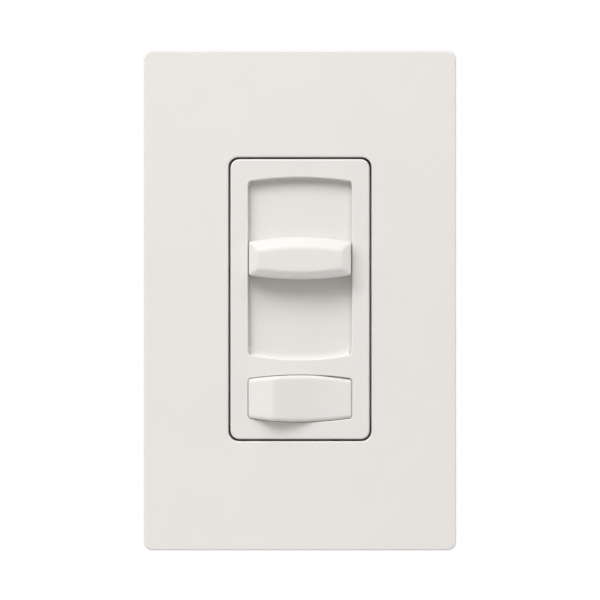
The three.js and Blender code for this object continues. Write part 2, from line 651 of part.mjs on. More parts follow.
// A part with two wire legs that run forward to the board from a body lying along Z.
function axialPart(x, z, radius, length) {
  const y = BOARD_FOOT + radius + 0.6;
  const body = rod("z", radius, about(z, length / 2), [x, y], 14);
  const legs = BOTH.map((end) => {
    const reach = z + end * (length / 2 + 1.6);
    const ends = span(z + end * (length / 2 - FUSED), reach + end * 0.3);
    return joined(
      rod("z", WIRE, ends, [x, y], 8),
      rod("y", WIRE, [BOARD_FOOT, y], [x, reach], 8),
    );
  });
  return joined(body, ...legs);
}

function filmCapacitor() {
  return box([-12.4, -4.4], [BOARD_FOOT, BOARD_FOOT + 13], [-14.5, 3.5]);
}

function timingCapacitor() {
  return box([-3, 1.5], [BOARD_FOOT, BOARD_FOOT + 8], [-28, -20.5]);
}

// A disc that stands on edge on its two wire legs.
function varistor() {
  const { x, z, radius, half, legGap } = { x: 7.1, z: -25, radius: 5, half: 1.7, legGap: 2.5 };
  const disc = rod("x", radius, about(x, half), [BOARD_FOOT + 6.4, z], 24);
  const legs = BOTH.map((end) => rod("y", 0.4, [BOARD_FOOT, BOARD_FOOT + 4], [x, z + end * legGap], 8));
  return joined(disc, ...legs);
}

const CHOKE = { x: 2.5, z: 17, radius: 9, post: 4.05, flange: 1.6, foot: BOARD_FOOT, tall: 13 };

// A ferrite bobbin on end: two flanges and the post between them.
function chokeCore() {
  const { x, z, radius, post, flange, foot, tall } = CHOKE;
  const at = [x, z];
  return joined(
    rod("y", radius, [foot, foot + flange], at, 24),
    rod("y", post, [foot, foot + tall], at, 24),
    rod("y", radius, [foot + tall - flange, foot + tall], at, 24),
  );
}

// The winding is a ring that swells at each row of wire.
function chokeWinding() {
  const { x, z, radius, post, flange, foot, tall } = CHOKE;
  const [inner, outer, waist] = [post + GAP, radius - 0.9, radius - 1.4];
  const [start, end] = [foot + flange + GAP, foot + tall - flange - GAP];
  const rows = 4;
  const pitch = (end - start) / rows;
  const profile = [[inner, start]];
  for (let i = 0; i < rows; i++) {
    const y = start + pitch * i;
    profile.push([waist, y], [outer, y + pitch * 0.3], [outer, y + pitch * 0.7]);
  }
  profile.push([waist, end], [inner, end], [inner, start]);
  return turned(profile.toReversed(), 24).translate([x, 0, z]);
}

// ---- Rear housing and terminals --------------------------------------------------------------

function rearHousing() {
  const { half, tall, front, back, wall, corner, bevel } = HOUSING;
  const outline = (inset) => roundRect(2 * (half - inset), 2 * (tall - inset), corner - inset * 0.5, 4);
  const shell = skin([
    { y: front, points: outline(0) },
    { y: back - bevel, points: outline(0) },
    { y: back, points: outline(bevel) },
  ]);
  const hollow = prism(roundRect(2 * (half - wall), 2 * (tall - wall), 1, 3), [front - THROUGH, back - wall]);
  const posts = PAIRS.map(([side, end]) =>
    rod("y", 3.2, [BOARD_FOOT, back - 1], [side * HOUSING_SCREW.x, end * HOUSING_SCREW.z]));
  const blocks = TERMINALS.map(({ side, z }) => pocketBlock(side, z, POCKET.wall));
  const ribs = [-18, -12, 18, 24].map((z) => box(about(0, 14), [back - 0.5, back + 0.6], about(z, 0.6)));
  const screwHoles = PAIRS.map(([side, end]) => {
    const at = [side * HOUSING_SCREW.x, end * HOUSING_SCREW.z];
    return joined(
      rod("y", HOUSING_SCREW.radius + GAP, [front - THROUGH, back + THROUGH], at),
      rod("y", 2.8, [back - HOUSING_SCREW.seat, back + THROUGH], at),
    );
  });
  const pockets = TERMINALS.flatMap(({ side, z }) => [
    pocketBlock(side, z, 0),
    ...BOTH.map((end) => wireHole(side, z + end * 3.3)),
    legSlot(side, z),
  ]);
  const body = joined(without(shell, hollow), ...posts, ...blocks, ...ribs);
  return without(body, ...screwHoles, ...pockets);
}

// The space of one terminal, grown by `grow` for the block that it is cut from.
function pocketBlock(side, z, grow) {
  const { inner, half, front, back } = POCKET;
  const outer = grow ? HOUSING.half - 0.5 : HOUSING.half + THROUGH;
  const ends = span(side * (inner - grow), side * outer);
  return box(ends, [front - grow, grow ? HOUSING.back - 1 : back], about(z, half + grow));
}

// Push-in wires enter a terminal's pocket from the back through a round hole.
function wireHole(side, z) {
  return rod("y", 1.4, [POCKET.back - THROUGH, HOUSING.back + 2], [side * WIRE_HOLE_X, z], 14);
}

function legSlot(side, z) {
  return box(about(side * POCKET.strip, 0.9), [BOARD.back, POCKET.front + THROUGH], about(z, 1.4));
}

// The strip lies against the pocket's inner wall, and its leg runs forward to the board.
function terminalStrip({ side, z }) {
  const x = side * POCKET.strip;
  const across = about(x, 0.5);
  const strip = box(across, [POCKET.front + GAP, POCKET.back - GAP - 1], about(z, 4.8));
  const leg = box(across, [BOARD_FOOT, POCKET.front + THROUGH], about(z, 1));
  const hole = rod("x", SCREW_SHAFT + GAP, about(x, 2), [TERMINAL_SCREW_Y, z]);
  return without(joined(strip, leg), hole);
}

function terminalClamp({ side, z }) {
  const x = side * CLAMP.x;
  const plate = box(about(x, CLAMP.half), about(TERMINAL_SCREW_Y, 4.4), about(z, 4.6));
  return without(plate, rod("x", SCREW_SHAFT + GAP, about(x, 2), [TERMINAL_SCREW_Y, z]));
}

// ---- Assembly --------------------------------------------------------------------------------

function meshOf(name, body, look, colour = LOOKS[look][0]) {
  const { vertProperties, triVerts } = body.getMesh();
  const geometry = new THREE.BufferGeometry();
  geometry.setAttribute("position", new THREE.BufferAttribute(vertProperties, 3));
  geometry.setIndex(new THREE.BufferAttribute(triVerts, 1));
  const [, roughness, metalness] = LOOKS[look];
  const mesh = new THREE.Mesh(geometry, new THREE.MeshStandardMaterial({ color: colour, roughness, metalness }));
  mesh.name = name;
  return mesh;
}

// A screw turned so that its head faces the given way: -Y as made, or +Y, +X or -X.
function placedScrew(name, kind, look, [x, y, z], faces, colour) {
  const mesh = meshOf(name, kind, look, colour);
  mesh.position.set(x, y, z);
  if (faces === "+y") mesh.rotation.z = Math.PI;
  if (faces === "+x") mesh.rotation.z = Math.PI / 2;
  if (faces === "-x") mesh.rotation.z = -Math.PI / 2;
  return mesh;
}

const dimmer = new THREE.Group();
dimmer.add(meshOf("wall_plate", wallPlate(), "white"));
dimmer.add(meshOf("plate_adapter", plateAdapter(), "white"));

const device = new THREE.Group();
device.position.z = DEVICE_LIFT;
dimmer.add(device);

device.add(meshOf("yoke", yoke(), "aluminium"));
device.add(meshOf("bezel", bezel(), "white"));
device.add(meshOf("slider_floor", sliderFloor(), "white"));
device.add(meshOf("slider_knob", sliderKnob(), "white"));
device.add(meshOf("slider_carriage", sliderCarriage(), "grey"));
device.add(meshOf("pot_lever", potLever(), "grey"));
device.add(meshOf("pot_wiper", potWiper(), "brass"));
device.add(meshOf("pot_can", potCan(), "steel"));
device.add(meshOf("pot_board", potBoard(), "tan"));
device.add(meshOf("rocker", rocker(), "white"));
device.add(meshOf("plunger", plunger(), "grey"));
device.add(meshOf("plunger_spring", plungerSpring(), "steel"));
device.add(meshOf("seesaw", seesaw(), "copper"));
device.add(meshOf("seesaw_pin", seesawPin(), "steel"));
device.add(meshOf("contact_saddle", contactSaddle(), "brass"));
for (const [label, side] of [["left", -1], ["right", 1]]) {
  device.add(meshOf(`moving_contact_${label}`, movingContact(side), "steel"));
  device.add(meshOf(`fixed_contact_${label}`, fixedContact(side), "copper"));
}

device.add(meshOf("circuit_board", circuitBoard(), "board"));
device.add(meshOf("triac", triac(), "black"));
device.add(meshOf("triac_rivet", triacRivet(), "aluminium"));
device.add(meshOf("diac", axialPart(-8, 16, 1, 4), "blue"));
device.add(meshOf("resistor_timing", axialPart(-12, 18, 1.2, 6.5), "tan"));
device.add(meshOf("resistor_snubber", axialPart(11.4, -26, 1.6, 6), "tan"));
device.add(meshOf("film_capacitor", filmCapacitor(), "yellow"));
device.add(meshOf("timing_capacitor", timingCapacitor(), "enamel"));
device.add(meshOf("varistor", varistor(), "blue"));
device.add(meshOf("choke_core", chokeCore(), "ferrite"));
device.add(meshOf("choke_winding", chokeWinding(), "enamel"));
device.add(meshOf("rear_housing", rearHousing(), "black"));

const plateScrew = screw({ head: 3.4, height: 1.4, shaft: SCREW_SHAFT, length: 11, countersunk: true });
const boxScrew = screw({ head: 3.6, height: 2, shaft: SCREW_SHAFT, length: 24 });
const housingScrew = screw({ head: 2.4, height: 1.4, shaft: HOUSING_SCREW.radius, length: 28.4 });
const terminalScrew = screw({ head: 3.8, height: 1.9, shaft: SCREW_SHAFT, length: 3.2 });
const groundScrew = screw({ head: 3.8, height: 2.1, shaft: SCREW_SHAFT, length: 5.2 });

// The card washer that keeps a box screw in its ear.
function screwRetainer(z) {
  return without(box(about(0, 4.5), [GAP, 1.1], about(z, 4)), rod("y", SCREW_SHAFT + GAP, [-1, 2], [0, z]));
}

for (const [label, end] of [["top", 1], ["bottom", -1]]) {
  const [boxScrewZ, plateScrewZ] = [end * BOX_SCREW_Z, end * PLATE_SCREW_Z];
  const plateScrewY = ADAPTER.back - 0.4;
  device.add(placedScrew(`box_screw_${label}`, boxScrew, "steel", [0, YOKE.front - GAP, boxScrewZ], "-y"));
  device.add(placedScrew(`plate_screw_${label}`, plateScrew, "steel", [0, plateScrewY, plateScrewZ], "-y"));
  device.add(meshOf(`screw_retainer_${label}`, screwRetainer(boxScrewZ), "tan"));
  for (const [word, side] of [["left", -1], ["right", 1]]) {
    const at = [side * HOUSING_SCREW.x, HOUSING.back - HOUSING_SCREW.seat + GAP, end * HOUSING_SCREW.z];
    device.add(placedScrew(`housing_screw_${label}_${word}`, housingScrew, "steel", at, "+y"));
  }
}
for (const terminal of TERMINALS) {
  const { name, side, z, colour } = terminal;
  device.add(meshOf(`terminal_${name}`, terminalStrip(terminal), "brass"));
  device.add(meshOf(`clamp_${name}`, terminalClamp(terminal), "steel"));
  const at = [side * (CLAMP.x + CLAMP.half + GAP), TERMINAL_SCREW_Y, z];
  const faces = side > 0 ? "+x" : "-x";
  device.add(placedScrew(`terminal_screw_${name}`, terminalScrew, "brass", at, faces, colour));
}
device.add(placedScrew("ground_screw", groundScrew, "green", [GROUND.x - GAP, GROUND.y, GROUND.z], "-x"));

export default dimmer;
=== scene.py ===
"""A wall dimmer with a slide knob and an on/off rocker: its finished surfaces, light and camera.

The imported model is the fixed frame. Metres, +X right as seen from the room, +Y into the wall and
+Z up. The visible mouldings are rebuilt as fine meshes on the frame's own boxes; the other parts
keep the frame's shapes, with rounded edges. Every part gets a procedural material.
"""

import json
import math

import bmesh
import bpy
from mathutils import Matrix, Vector


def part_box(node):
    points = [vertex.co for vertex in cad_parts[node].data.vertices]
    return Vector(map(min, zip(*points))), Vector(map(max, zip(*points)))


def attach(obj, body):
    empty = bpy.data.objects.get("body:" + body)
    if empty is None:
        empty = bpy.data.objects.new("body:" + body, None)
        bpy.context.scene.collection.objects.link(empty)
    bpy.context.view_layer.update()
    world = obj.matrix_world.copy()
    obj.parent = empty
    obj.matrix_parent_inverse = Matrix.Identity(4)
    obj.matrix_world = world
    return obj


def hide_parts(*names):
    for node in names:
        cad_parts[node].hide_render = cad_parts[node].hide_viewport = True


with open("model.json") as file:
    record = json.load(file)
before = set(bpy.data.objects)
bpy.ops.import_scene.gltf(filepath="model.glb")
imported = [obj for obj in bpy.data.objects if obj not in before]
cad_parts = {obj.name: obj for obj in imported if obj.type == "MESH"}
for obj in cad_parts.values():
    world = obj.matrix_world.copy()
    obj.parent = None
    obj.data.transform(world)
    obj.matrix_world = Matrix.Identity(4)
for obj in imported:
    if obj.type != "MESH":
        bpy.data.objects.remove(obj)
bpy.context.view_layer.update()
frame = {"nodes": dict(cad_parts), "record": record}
NODES = frame["nodes"]
RECORD = frame["record"]
SLOTS = {row["node"]: row["material_slot"] for row in RECORD["subparts"]}
BODIES = {node: body for body, nodes in RECORD["behaviour"]["bodies"].items() for node in nodes}
MM = 0.001

TEXTURE_START, TEXTURE_END = 0.3, 0.7  # the range that most of a noise texture's values fall in


# ---- Shaders -------------------------------------------------------------------------------


class Shader:
    """One node material: a Principled surface, and the textures that feed it."""

    def __init__(self, name, colour, roughness, metallic=0.0, **sockets):
        self.material = bpy.data.materials.new(name)
        self.material.use_nodes = True
        self.tree = self.material.node_tree
        self.surface = self.tree.nodes["Principled BSDF"]
        self.set("Base Color", (*colour, 1.0))
        self.set("Roughness", roughness)
        self.set("Metallic", metallic)
        for socket, value in sockets.items():
            self.set(socket.replace("_", " "), value)
        self.colour = colour
        self.roughness = roughness
        self.place = self.add("ShaderNodeTexCoord").outputs["Object"]

    def set(self, socket, value):
        self.surface.inputs[socket].default_value = value

    def add(self, kind, **inputs):
        node = self.tree.nodes.new(kind)
        for socket, value in inputs.items():
            self.feed(node.inputs[socket.replace("_", " ")], value)
        return node

    def feed(self, socket, value):
        if isinstance(value, bpy.types.NodeSocket):
            self.tree.links.new(value, socket)
        else:
            socket.default_value = value

    def stretched(self, scale):
        """The object's own coordinates, stretched by a factor on each axis."""
        node = self.add("ShaderNodeMapping", Vector=self.place)
        node.inputs["Scale"].default_value = scale
        return node.outputs["Vector"]

    def noise(self, size, detail=3.0, along=(1, 1, 1)):
        """Noise whose features are `size` metres across, drawn out by `along` on each axis."""
        node = self.add(
            "ShaderNodeTexNoise",
            Vector=self.stretched([a / size for a in along]),
            Scale=1.0,
            Detail=detail,
            Roughness=0.5,
        )
        return node.outputs["Fac"]

    def spread(self, value, low, high):
        """Maps a texture's middle range to low..high."""
        node = self.add("ShaderNodeMapRange", Value=value)
        node.inputs["From Min"].default_value = TEXTURE_START
        node.inputs["From Max"].default_value = TEXTURE_END
        node.inputs["To Min"].default_value = low
        node.inputs["To Max"].default_value = high
        return node.outputs["Result"]

    def vary_colour(self, value, amount):
        """Lightens and darkens the base colour by `amount` as the texture runs."""
        mix = self.add("ShaderNodeMix")
        mix.data_type = "RGBA"
        dark = [max(0.0, c * (1 - amount)) for c in self.colour]
        light = [min(1.0, c * (1 + amount)) for c in self.colour]
        self.feed(mix.inputs["Factor"], self.spread(value, 0.0, 1.0))
        mix.inputs["A"].default_value = (*dark, 1.0)
        mix.inputs["B"].default_value = (*light, 1.0)
        self.tree.links.new(mix.outputs["Result"], self.surface.inputs["Base Color"])

    def vary_roughness(self, value, amount):
        """Makes the surface duller and glossier by `amount` as the texture runs."""
        low, high = self.roughness - amount, self.roughness + amount
        self.tree.links.new(self.spread(value, low, high), self.surface.inputs["Roughness"])

    def raise_by(self, value, depth):
        """Bumps the surface by `depth` metres over the texture's whole range."""
        bump = self.add("ShaderNodeBump", Height=value, Strength=1.0)
        bump.inputs["Distance"].default_value = depth
        links = self.surface.inputs["Normal"].links
        if links:
            self.tree.links.new(links[0].from_socket, bump.inputs["Normal"])
        self.tree.links.new(bump.outputs["Normal"], self.surface.inputs["Normal"])


def white_moulding(name, colour, roughness, shine=0.5):
    """Satin moulded plastic: a fine grain, a faint mottle, and the mirror strength in `shine`."""
    shader = Shader(name, colour, roughness, IOR=1.49, Specular_IOR_Level=shine)
    shader.vary_colour(shader.noise(11 * MM, detail=2.0), 0.006)
    shader.vary_roughness(shader.noise(2.5 * MM, detail=4.0), 0.035)
    shader.raise_by(shader.noise(0.28 * MM, detail=2.0), 0.0035 * MM)
    shader.raise_by(shader.noise(6 * MM, detail=1.0), 0.006 * MM)
    return shader.material


def dark_moulding(name, colour, roughness):
    """Glass-filled black plastic with a coarser eroded texture and paler rubbed patches."""
    shader = Shader(name, colour, roughness, IOR=1.5)
    shader.vary_colour(shader.noise(5 * MM, detail=5.0), 0.35)
    shader.vary_roughness(shader.noise(1.2 * MM, detail=4.0), 0.09)
    shader.raise_by(shader.noise(0.16 * MM), 0.012 * MM)
    return shader.material


def sheet_metal(name, colour, roughness):
    """Rolled metal, with fine lines along Z and a few handling marks."""
    shader = Shader(name, colour, roughness, metallic=1.0)
    lines = shader.noise(0.12 * MM, along=(1, 1, 0.03))
    shader.vary_roughness(lines, 0.1)
    shader.raise_by(lines, 0.002 * MM)
    shader.vary_colour(shader.noise(4 * MM, detail=4.0), 0.06)
    return shader.material


def plated_metal(name, colour, roughness):
    """Zinc or brass on a small turned part: cloudy, with faint tool marks."""
    shader = Shader(name, colour, roughness, metallic=1.0)
    shader.vary_colour(shader.noise(1.4 * MM, detail=4.0), 0.1)
    shader.vary_roughness(shader.noise(0.7 * MM), 0.08)
    shader.raise_by(shader.noise(0.1 * MM, detail=2.0), 0.0015 * MM)
    return shader.material


def lacquer(name, colour, roughness):
    """A dipped or moulded glossy coat over a small electrical part."""
    shader = Shader(name, colour, roughness, Coat_Weight=0.3)
    shader.vary_colour(shader.noise(1.5 * MM), 0.08)
    shader.raise_by(shader.noise(0.9 * MM, detail=2.0), 0.02 * MM)
    return shader.material


def dull(name, colour, roughness, size, depth):
    """Laminate, sintered or fibrous stock: broken colour and an open surface."""
    shader = Shader(name, colour, roughness)
    shader.vary_colour(shader.noise(size * 4, detail=5.0), 0.15)
    shader.vary_roughness(shader.noise(size * 2), 0.06)
    shader.raise_by(shader.noise(size, detail=4.0), depth)
    return shader.material


FINISHES = {  # how each is made, its colour, its roughness, and what else its maker takes
    "plate_plastic": (white_moulding, (0.761, 0.732, 0.705), 0.4, 0.4),
    "device_plastic": (white_moulding, (0.75, 0.7255, 0.7), 0.4, 0.32),
    "adapter_plastic": (white_moulding, (0.7, 0.68, 0.65), 0.55),
    "inner_plastic": (white_moulding, (0.55, 0.54, 0.51), 0.5),
    "housing_plastic": (dark_moulding, (0.022, 0.022, 0.024), 0.5),
    "moulded_black": (dark_moulding, (0.02, 0.02, 0.02), 0.6),
    # The yoke's aluminium is darker than bare metal so that the gap round the bezel, where the yoke
    # shows through, looks dark: painted shade in that gap.
    "yoke_aluminium": (sheet_metal, (0.5, 0.505, 0.51), 0.42),
    "steel": (plated_metal, (0.66, 0.66, 0.64), 0.32),
    "brass": (plated_metal, (0.83, 0.62, 0.3), 0.28),
    "copper": (plated_metal, (0.78, 0.44, 0.28), 0.3),
    "silver_contact": (plated_metal, (0.88, 0.87, 0.84), 0.25),
    "green_screw": (plated_metal, (0.05, 0.36, 0.15), 0.34),
    "blackened_screw": (plated_metal, (0.07, 0.07, 0.075), 0.42),
    "phenolic": (dull, (0.3, 0.17, 0.08), 0.55, 0.4 * MM, 0.01 * MM),
    "board_laminate": (dull, (0.02, 0.13, 0.05), 0.4, 0.5 * MM, 0.01 * MM),
    "blue_lacquer": (lacquer, (0.04, 0.12, 0.38), 0.25),
    "tan_lacquer": (lacquer, (0.5, 0.34, 0.18), 0.3),
    "red_lacquer": (lacquer, (0.38, 0.07, 0.03), 0.28),
    "film_capacitor_case": (lacquer, (0.72, 0.5, 0.06), 0.35),
    "ferrite": (dull, (0.03, 0.03, 0.032), 0.6, 0.3 * MM, 0.015 * MM),
    "fibre": (dull, (0.42, 0.28, 0.16), 0.8, 0.25 * MM, 0.03 * MM),
}
MATERIALS = {name: make(name, *values) for name, (make, *values) in FINISHES.items()}


# ---- Meshes --------------------------------------------------------------------------------

SHARP_TURN = math.radians(28.0)  # edges that turn by more than this get a round


def place(piece, node):
    """Puts a finished piece on its node's body, in its finish, in the place of the CAD node."""
    slot = SLOTS[node]
    piece.data.materials.append(MATERIALS[slot])
    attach(piece, BODIES[node])
    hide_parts(node)


def new_piece(name, bm, sharp=32.0):
    """A mesh object from a bmesh: smooth, creased where its faces turn by over `sharp` degrees."""
    bmesh.ops.recalc_face_normals(bm, faces=bm.faces)
    mesh = bpy.data.meshes.new(name)
    bm.to_mesh(mesh)
    bm.free()
    mesh.shade_smooth()
    mesh.set_sharp_from_angle(angle=math.radians(sharp))
    piece = bpy.data.objects.new(name, mesh)
    bpy.context.scene.collection.objects.link(piece)
    weighted = piece.modifiers.new("weighted_normals", "WEIGHTED_NORMAL")
    weighted.keep_sharp = True
    return piece


def cad_bmesh(node):
    """A CAD node's mesh, with its vertices merged and its flat faces whole."""
    bm = bmesh.new()
    bm.from_mesh(NODES[node].data)
    bmesh.ops.remove_doubles(bm, verts=bm.verts, dist=0.002 * MM)
    bmesh.ops.dissolve_limit(bm, angle_limit=math.radians(0.6), verts=bm.verts, edges=bm.edges)
    return bm


def round_edges(bm, width, segments, chosen=None):
    """Rounds the edges with a clear turn: the chosen ones, or all those with room beside them."""

    def has_room(edge):
        beside = [e for v in edge.verts for e in v.link_edges if e != edge]
        return all(e.calc_length() > 2.1 * width for e in beside)

    sharp = [e for e in bm.edges if e.is_manifold and e.calc_face_angle(0.0) > SHARP_TURN]
    bmesh.ops.bevel(
        bm,
        geom=[e for e in sharp if (chosen or has_room)(e)],
        offset=width,
        offset_type="OFFSET",
        segments=segments,
        profile=0.5,
        affect="EDGES",
        clamp_overlap=chosen is None,
    )


def loft(rings, closed=False):
    """A skin through rings of (x, y, z) points, with its ends capped or joined to each other."""
    bm = bmesh.new()
    rows = [[bm.verts.new(point) for point in ring] for ring in rings]
    following = rows[1:] + rows[:1] if closed else rows[1:]
    for near, far in zip(rows, following):
        for i in range(len(near)):
            j = (i + 1) % len(near)
            bm.faces.new((near[i], near[j], far[j], far[i]))
    if not closed:
        bm.faces.new(list(reversed(rows[0])))
        bm.faces.new(rows[-1])
    return bm


def add_block(bm, centre, size, width=0.12 * MM):
    """Adds a small block with rounded edges to a mesh."""
    block = bmesh.new()
    bmesh.ops.create_cube(block, size=1.0)
    for vert in block.verts:
        vert.co = Vector(centre) + Vector([c * s for c, s in zip(vert.co, size)])
    edges = block.edges[:]
    bmesh.ops.bevel(block, geom=edges, offset=width, segments=2, profile=0.5, affect="EDGES")
    merge_into(bm, block)


def merge_into(bm, other):
    """Moves another bmesh's faces into bm."""
    mesh = bpy.data.meshes.new("scratch")
    other.to_mesh(mesh)
    other.free()
    bm.from_mesh(mesh)
    bpy.data.meshes.remove(mesh)


# ---- Outlines ------------------------------------------------------------------------------

RECT_CORNER_STEPS = 10
ARCH_CORNER_STEPS, ARCH_CHORDS = 5, 28
FILLET_STEPS = 10


def arc(centre, radius, start, end, steps):
    """Points on an arc in a plane, from one angle to another in degrees."""
    found = []
    for i in range(steps + 1):
        angle = math.radians(start + (end - start) * i / steps)
        found.append((centre[0] + radius * math.cos(angle), centre[1] + radius * math.sin(angle)))
    return found


def round_rect(half_x, half_z, corner, centre_z=0.0):
    """A rectangle with round corners in X and Z, counter-clockwise from its right side."""
    points = []
    for quarter in range(4):
        x = (1 if quarter in (0, 3) else -1) * (half_x - corner)
        z = (1 if quarter < 2 else -1) * (half_z - corner)
        points += arc((x, z), corner, 90 * quarter, 90 * quarter + 90, RECT_CORNER_STEPS)
    return [(x, z + centre_z) for x, z in points]


def arched(half, top, bottom, top_rise, bottom_rise, corner):
    """An outline whose top bulges up and whose bottom bulges down, with round corners."""
    flat = half - corner
    across = [flat - 2 * flat * i / ARCH_CHORDS for i in range(1, ARCH_CHORDS)]

    def upper(x):
        return top - top_rise * (x / half) ** 2

    def lower(x):
        return bottom + bottom_rise * (x / half) ** 2

    points = arc((flat, upper(flat) - corner), corner, 0, 90, ARCH_CORNER_STEPS)
    points += [(x, upper(x)) for x in across]
    points += arc((-flat, upper(flat) - corner), corner, 90, 180, ARCH_CORNER_STEPS)
    points += arc((-flat, lower(flat) + corner), corner, 180, 270, ARCH_CORNER_STEPS)
    points += [(-x, lower(x)) for x in across]
    points += arc((flat, lower(flat) + corner), corner, 270, 360, ARCH_CORNER_STEPS)
    return points


def at_depth(outline, y):
    """An outline in X and Z, set at a depth Y."""
    return [(x, y, z) for x, z in outline]


def filleted(path, radii):
    """A polyline with its inner corners replaced by arcs, one radius for each inner corner."""
    points = [path[0]]
    for before, corner, after, radius in zip(path, path[1:], path[2:], radii):
        a = (Vector(before) - Vector(corner)).normalized()
        b = (Vector(after) - Vector(corner)).normalized()
        half = a.angle(b) / 2
        reach = radius / math.tan(half)
        start, end = Vector(corner) + a * reach, Vector(corner) + b * reach
        centre = Vector(corner) + (a + b).normalized() * (radius / math.sin(half))
        first, last = start - centre, end - centre
        turn = first.angle(last)
        for i in range(FILLET_STEPS + 1):
            t = i / FILLET_STEPS
            blend = first * math.sin(turn * (1 - t)) + last * math.sin(turn * t)
            points.append(tuple(centre + blend / math.sin(turn)))
    points.append(path[-1])
    return points


# ---- Wall plate ----------------------------------------------------------------------------

PLATE_WALL = 1.8 * MM
PLATE_CORNER, PLATE_LEAST_CORNER = 2.0 * MM, 0.6 * MM
PLATE_EDGE = 0.4 * MM  # the radius of its outer front edge
PLATE_LIP = 0.35 * MM  # the radius of its opening's front edge
PLATE_OPENING = {"half_x": 34.06 / 2 * MM, "half_z": 67.62 / 2 * MM, "corner": 2.4 * MM}
PLATE_RIM = {"height": 1.1 * MM, "thick": 1.4 * MM, "break": 0.15 * MM}  # behind the opening
SNAP_RIBS = {"y": -1.75 * MM, "z": (-36 * MM, 0.0, 36 * MM), "size": (1.0 * MM, 0.9 * MM, 8 * MM)}


def wall_plate():
    """One moulding, skinned as rings from its rear rim, round its front and back to the rim."""
    low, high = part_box("wall_plate")
    bezel_low, bezel_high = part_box("bezel")
    half_x, half_z = (high.x - low.x) / 2, (high.z - low.z) / 2
    lift = (bezel_low.z + bezel_high.z) / 2
    front, inner = low.y, low.y + PLATE_WALL
    edge, lip = PLATE_EDGE, PLATE_LIP
    rim, thick, broken = PLATE_RIM["height"], PLATE_RIM["thick"], PLATE_RIM["break"]

    def outer(inset):
        corner = max(PLATE_CORNER - inset * 0.6, PLATE_LEAST_CORNER)
        return round_rect(half_x - inset, half_z - inset, corner)

    def opening(grow):
        hole = PLATE_OPENING
        return round_rect(hole["half_x"] + grow, hole["half_z"] + grow, hole["corner"] + grow, lift)

    def cavity(inset, corner):
        return round_rect(half_x - PLATE_WALL - inset, half_z - PLATE_WALL - inset, corner)

    rows = [(outer(0.0), 0.0), (outer(0.0), front + edge * 1.4)]
    rows += [(outer(edge - x), front + edge - y) for x, y in arc((0.0, 0.0), edge, 0, 90, 8)]
    rows += [(outer(edge * 1.5), front), (opening(lip * 2.0), front)]
    rows += [(opening(lip - x), front + lip - y) for x, y in arc((0.0, 0.0), lip, 90, 0, 5)]
    rows += [
        (opening(0.0), inner + rim - broken),
        (opening(broken), inner + rim),
        (opening(thick - broken), inner + rim),
        (opening(thick), inner + rim - broken),
        (opening(thick), inner),
        (cavity(0.5 * MM, 0.6 * MM), inner),
        (cavity(0.0, 0.9 * MM), inner + 0.5 * MM),
        (cavity(0.0, 0.9 * MM), 0.0),
    ]
    bm = loft([at_depth(outline, y) for outline, y in rows], closed=True)
    for side in (-1, 1):
        for z in SNAP_RIBS["z"]:
            add_block(bm, (side * (half_x - PLATE_WALL), SNAP_RIBS["y"], z), SNAP_RIBS["size"])
    place(new_piece("wall_plate_moulding", bm), "wall_plate")


# ---- Bezel and knob ------------------------------------------------------------------------

NEAR = 0.01 * MM  # how close two depths are to count as the same
BEZEL_MARGIN = 1.5 * MM  # edges this near the bezel's outline belong to it
BEZEL_EDGE, BEZEL_OPENING_EDGE = 0.45 * MM, 0.22 * MM
COVE_CUTS = 15
# A strip behind each side wall of the recess carries the wall further back.
STRIP_X, STRIP_BEHIND_FACE, STRIP_Z = 12.52 * MM, 1.5 * MM, 9 * MM
STRIP_SIZE, STRIP_EDGE = (0.52 * MM, 0.5 * MM, 43 * MM), 0.02 * MM
# A flange on each side of the bezel closes the view into the gap round it.
FLANGE_X, FLANGE_Y, FLANGE_SIZE = 16.85 * MM, -2 * MM, (0.7 * MM, 0.6 * MM, 60 * MM)


def bezel():
    """The device face: a coved recess, an undercut rocker opening and small moulded radii."""
    bm = cad_bmesh("bezel")
    low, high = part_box("bezel")

    def on_face(edge):
        return all(abs(v.co.y - low.y) < NEAR for v in edge.verts)

    def near_rim(point):
        across = min(point.x - low.x, high.x - point.x)
        along = min(point.z - low.z, high.z - point.z)
        return min(across, along) < BEZEL_MARGIN

    def outside(edge):
        return on_face(edge) and near_rim((edge.verts[0].co + edge.verts[1].co) / 2)

    def opening(edge):
        return on_face(edge) and not outside(edge)

    round_edges(bm, BEZEL_EDGE, 5, outside)
    round_edges(bm, BEZEL_OPENING_EDGE, 5, opening)
    cove_recess(bm, low.y)
    undercut_rocker_hole(bm, low.y)
    for side in (-1, 1):
        strip_centre = (side * STRIP_X, low.y + STRIP_BEHIND_FACE, STRIP_Z)
        add_block(bm, strip_centre, STRIP_SIZE, STRIP_EDGE)
        add_block(bm, (side * FLANGE_X, FLANGE_Y, 0), FLANGE_SIZE)
    place(new_piece("bezel_moulding", bm, 36.0), "bezel")


